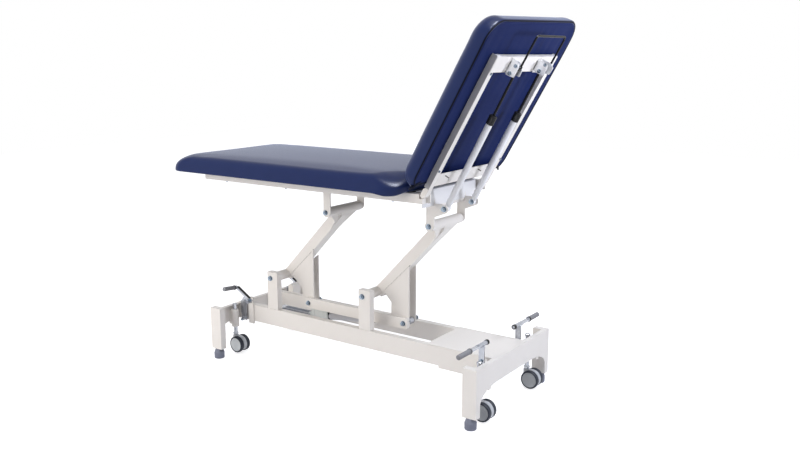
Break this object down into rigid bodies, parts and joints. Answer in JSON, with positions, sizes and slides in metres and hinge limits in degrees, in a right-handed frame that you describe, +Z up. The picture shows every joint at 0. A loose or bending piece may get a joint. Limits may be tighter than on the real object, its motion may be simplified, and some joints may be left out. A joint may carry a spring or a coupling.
{
  "type": "treatment table",
  "caption": "Electric treatment table with navy padded seat and raised gas-strut backrest on an ivory parallelogram lift base with pedal-braked castors.",
  "frame": {"origin": "centre of the footprint of the bounding box, on the floor plane", "axes": "+X runs from the foot end to the raised backrest, +Y across the table to the far side of the picture, +Z up"},
  "size_m": [1.6868, 0.656, 1.4826],
  "materials": {
    "ivory": "semi-gloss powder coat",
    "zinc": "bright plated",
    "navy": "soft satin vinyl",
    "rubber": "matt",
    "grey": "satin moulded",
    "black": "satin",
    "white": "gloss",
    "board": "plain panel",
    "tread": "smooth tread"
  },
  "bodies": {
    "base": {"end_frame_foot": "ivory", "end_frame_head": "ivory", "side_rail_near": "ivory", "side_rail_far": "ivory", "post_foot_near": "ivory", "post_foot_far": "ivory", "post_head_near": "ivory", "post_head_far": "ivory", "cover_tray": "ivory", "actuator_mount": "ivory", "rubber_foot_foot_near": "rubber", "rubber_foot_foot_far": "rubber", "rubber_foot_head_near": "rubber", "rubber_foot_head_far": "rubber"},
    "lift_arm_foot": {"lift_arm_foot": "ivory"},
    "lift_arm_head": {"lift_arm_head": "ivory"},
    "tie_bar": {"tie_bar": "ivory"},
    "actuator_body": {"actuator_body": "grey"},
    "actuator_rod": {"actuator_rod": "zinc"},
    "seat": {"hanger_foot_near": "ivory", "hanger_foot_far": "ivory", "hanger_head_near": "ivory", "hanger_head_far": "ivory", "seat_cross_foot": "ivory", "seat_cross_head": "ivory", "seat_rail_near": "ivory", "seat_rail_far": "ivory", "seat_board": "board", "seat_pad": "navy"},
    "backrest": {"back_rail_near": "ivory", "back_rail_far": "ivory", "back_plate_low": "ivory", "back_plate_top": "ivory", "back_pad": "navy", "clevis_near": "zinc", "clevis_far": "zinc"},
    "strut_tube_near": {"strut_tube_near": "white"},
    "strut_rod_near": {"strut_rod_near": "black"},
    "strut_tube_far": {"strut_tube_far": "white"},
    "strut_rod_far": {"strut_rod_far": "black"},
    "release_handle": {"release_handle": "black"},
    "pedal_foot_near": {"pedal_foot_near": "zinc"},
    "castor_stem_foot_near": {"castor_stem_foot_near": "zinc"},
    "castor_hood_foot_near": {"castor_hood_foot_near": "grey"},
    "castor_wheels_foot_near": {"castor_wheels_foot_near": "tread"},
    "pedal_foot_far": {"pedal_foot_far": "zinc"},
    "castor_stem_foot_far": {"castor_stem_foot_far": "zinc"},
    "castor_hood_foot_far": {"castor_hood_foot_far": "grey"},
    "castor_wheels_foot_far": {"castor_wheels_foot_far": "tread"},
    "pedal_head_near": {"pedal_head_near": "zinc"},
    "castor_stem_head_near": {"castor_stem_head_near": "zinc"},
    "castor_hood_head_near": {"castor_hood_head_near": "grey"},
    "castor_wheels_head_near": {"castor_wheels_head_near": "tread"},
    "pedal_head_far": {"pedal_head_far": "zinc"},
    "castor_stem_head_far": {"castor_stem_head_far": "zinc"},
    "castor_hood_head_far": {"castor_hood_head_far": "grey"},
    "castor_wheels_head_far": {"castor_wheels_head_far": "tread"}
  },
  "joints": [
    {"name": "lift", "type": "hinge", "parent": "base", "child": "lift_arm_foot", "pos_m": [-0.43167, 0, 0.3667], "axis": [0, -1, 0], "range_deg": [-52, 4]},
    {"name": "lift_head", "type": "hinge", "parent": "base", "child": "lift_arm_head", "pos_m": [0.08703, 0, 0.3667], "axis": [0, -1, 0], "range_deg": [-52.2, 4.2]},
    {"name": "seat_level", "type": "hinge", "parent": "lift_arm_foot", "child": "seat", "pos_m": [-0.11439, 0, 0.69755], "axis": [0, -1, 0], "range_deg": [-4.2, 52.2]},
    {"name": "tie_level", "type": "hinge", "parent": "lift_arm_foot", "child": "tie_bar", "pos_m": [-0.28334, 0, 0.25614], "axis": [0, -1, 0], "range_deg": [-4.2, 52.2]},
    {"name": "actuator_tilt", "type": "hinge", "parent": "base", "child": "actuator_body", "pos_m": [-0.31837, 0, 0.186], "axis": [0, -1, 0], "range_deg": [-9.04, 0.88]},
    {"name": "actuator_extend", "type": "slide", "parent": "actuator_body", "child": "actuator_rod", "axis": [0.9921, 0, 0.1257], "range_m": [-0.1439, 0.01153]},
    {"name": "backrest", "type": "hinge", "parent": "seat", "child": "backrest", "pos_m": [0.45513, 0, 0.84], "axis": [0, -1, 0], "range_deg": [-60.3, 3]},
    {"name": "strut_tilt_near", "type": "hinge", "parent": "seat", "child": "strut_tube_near", "pos_m": [0.47363, -0.097, 0.7733], "axis": [0, -1, 0], "range_deg": [-57.85, 3.07]},
    {"name": "strut_push_near", "type": "slide", "parent": "strut_tube_near", "child": "strut_rod_near", "axis": [0.475, 0, 0.88], "range_m": [-0.06575, 0.00375]},
    {"name": "strut_tilt_far", "type": "hinge", "parent": "seat", "child": "strut_tube_far", "pos_m": [0.47363, 0.097, 0.7733], "axis": [0, -1, 0], "range_deg": [-57.85, 3.07]},
    {"name": "strut_push_far", "type": "slide", "parent": "strut_tube_far", "child": "strut_rod_far", "axis": [0.475, 0, 0.88], "range_m": [-0.06575, 0.00375]},
    {"name": "release", "type": "hinge", "parent": "backrest", "child": "release_handle", "pos_m": [0.77949, 0, 1.30774], "axis": [0, 1, 0], "range_deg": [0, 15], "stiffness_Nm_per_rad": 1.5},
    {"name": "pedal_foot_near", "type": "hinge", "parent": "base", "child": "pedal_foot_near", "pos_m": [-0.55337, -0.143, 0.248], "axis": [0, -1, 0], "range_deg": [0, 20]},
    {"name": "castor_drop_foot_near", "type": "slide", "parent": "base", "child": "castor_stem_foot_near", "axis": [0, 0, -1], "range_m": [0, 0.014]},
    {"name": "castor_swivel_foot_near", "type": "hinge", "parent": "castor_stem_foot_near", "child": "castor_hood_foot_near", "pos_m": [-0.61337, -0.182, 0.0835], "axis": [0, 0, 1], "continuous": true},
    {"name": "castor_roll_foot_near", "type": "hinge", "parent": "castor_hood_foot_near", "child": "castor_wheels_foot_near", "pos_m": [-0.58837, -0.182, 0.0445], "axis": [0, 1, 0], "continuous": true},
    {"name": "pedal_foot_far", "type": "hinge", "parent": "base", "child": "pedal_foot_far", "pos_m": [-0.55337, 0.187, 0.248], "axis": [0, -1, 0], "range_deg": [0, 20]},
    {"name": "castor_drop_foot_far", "type": "slide", "parent": "base", "child": "castor_stem_foot_far", "axis": [0, 0, -1], "range_m": [0, 0.014]},
    {"name": "castor_swivel_foot_far", "type": "hinge", "parent": "castor_stem_foot_far", "child": "castor_hood_foot_far", "pos_m": [-0.61337, 0.182, 0.0835], "axis": [0, 0, 1], "continuous": true},
    {"name": "castor_roll_foot_far", "type": "hinge", "parent": "castor_hood_foot_far", "child": "castor_wheels_foot_far", "pos_m": [-0.62587, 0.20365, 0.0445], "axis": [-0.866, -0.5, 0], "continuous": true},
    {"name": "pedal_head_near", "type": "hinge", "parent": "base", "child": "pedal_head_near", "pos_m": [0.67263, -0.157, 0.206], "axis": [0, 1, 0], "range_deg": [0, 22]},
    {"name": "castor_drop_head_near", "type": "slide", "parent": "base", "child": "castor_stem_head_near", "axis": [0, 0, -1], "range_m": [0, 0.014]},
    {"name": "castor_swivel_head_near", "type": "hinge", "parent": "castor_stem_head_near", "child": "castor_hood_head_near", "pos_m": [0.68663, -0.198, 0.0835], "axis": [0, 0, 1], "continuous": true},
    {"name": "castor_roll_head_near", "type": "hinge", "parent": "castor_hood_head_near", "child": "castor_wheels_head_near", "pos_m": [0.71163, -0.198, 0.0445], "axis": [0, 1, 0], "continuous": true},
    {"name": "pedal_head_far", "type": "hinge", "parent": "base", "child": "pedal_head_far", "pos_m": [0.67263, 0.14, 0.206], "axis": [0, 1, 0], "range_deg": [0, 22]},
    {"name": "castor_drop_head_far", "type": "slide", "parent": "base", "child": "castor_stem_head_far", "axis": [0, 0, -1], "range_m": [0, 0.014]},
    {"name": "castor_swivel_head_far", "type": "hinge", "parent": "castor_stem_head_far", "child": "castor_hood_head_far", "pos_m": [0.68663, 0.198, 0.0835], "axis": [0, 0, 1], "continuous": true},
    {"name": "castor_roll_head_far", "type": "hinge", "parent": "castor_hood_head_far", "child": "castor_wheels_head_far", "pos_m": [0.71163, 0.198, 0.0445], "axis": [0, 1, 0], "continuous": true}
  ],
  "couplings": [
    {"joint": "lift_head", "follows": "lift", "ratio": 1},
    {"joint": "seat_level", "follows": "lift", "ratio": -1},
    {"joint": "tie_level", "follows": "lift", "ratio": -1},
    {"joint": "actuator_tilt", "follows": "lift", "ratio": 0.17},
    {"joint": "actuator_extend", "follows": "lift", "m_per_rad": 0.158},
    {"joint": "strut_tilt_near", "follows": "backrest", "ratio": 0.956},
    {"joint": "strut_push_near", "follows": "backrest", "m_per_rad": 0.062},
    {"joint": "strut_tilt_far", "follows": "backrest", "ratio": 0.956},
    {"joint": "strut_push_far", "follows": "backrest", "m_per_rad": 0.062},
    {"joint": "castor_drop_foot_near", "follows": "pedal_foot_near", "m_per_rad": 0.03867},
    {"joint": "castor_drop_foot_far", "follows": "pedal_foot_far", "m_per_rad": 0.03867},
    {"joint": "castor_drop_head_near", "follows": "pedal_head_near", "m_per_rad": 0.03516},
    {"joint": "castor_drop_head_far", "follows": "pedal_head_far", "m_per_rad": 0.03516}
  ]
}
